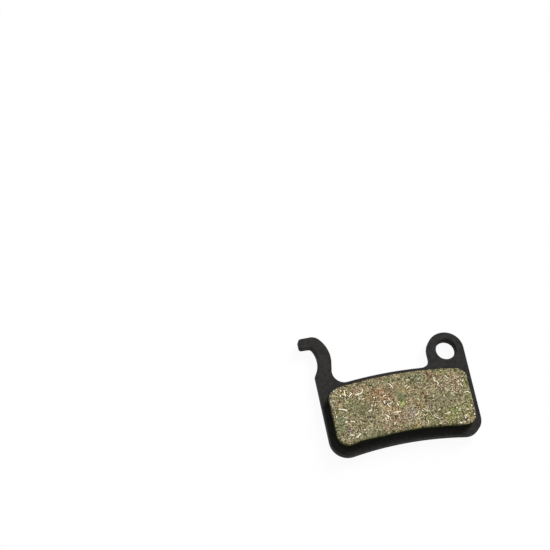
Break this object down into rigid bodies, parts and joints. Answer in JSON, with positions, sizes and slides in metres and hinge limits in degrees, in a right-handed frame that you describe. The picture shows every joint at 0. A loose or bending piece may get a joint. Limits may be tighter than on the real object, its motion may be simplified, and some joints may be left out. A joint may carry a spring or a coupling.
{
  "type": "bicycle disc brake pad",
  "caption": "Flat bicycle disc brake pad: painted steel back plate with a pin ear and a side hook, and a mottled friction lining moulded on and keyed through bonding holes.",
  "frame": {"origin": "centre of the axle bore in the ear, on the back face", "axes": "+X along the pad from the hook side to the ear side, +Y away from the rotor's centre, +Z from the back face to the friction face"},
  "size_m": [0.0383, 0.0296, 0.004],
  "materials": {
    "plate_paint": "satin black paint over stamped steel",
    "friction_compound": "matt moulded friction compound, olive-tan with pale fibres and dark flakes"
  },
  "bodies": {
    "root": {"back_plate": "plate_paint", "friction_lining": "friction_compound"}
  },
  "joints": []
}
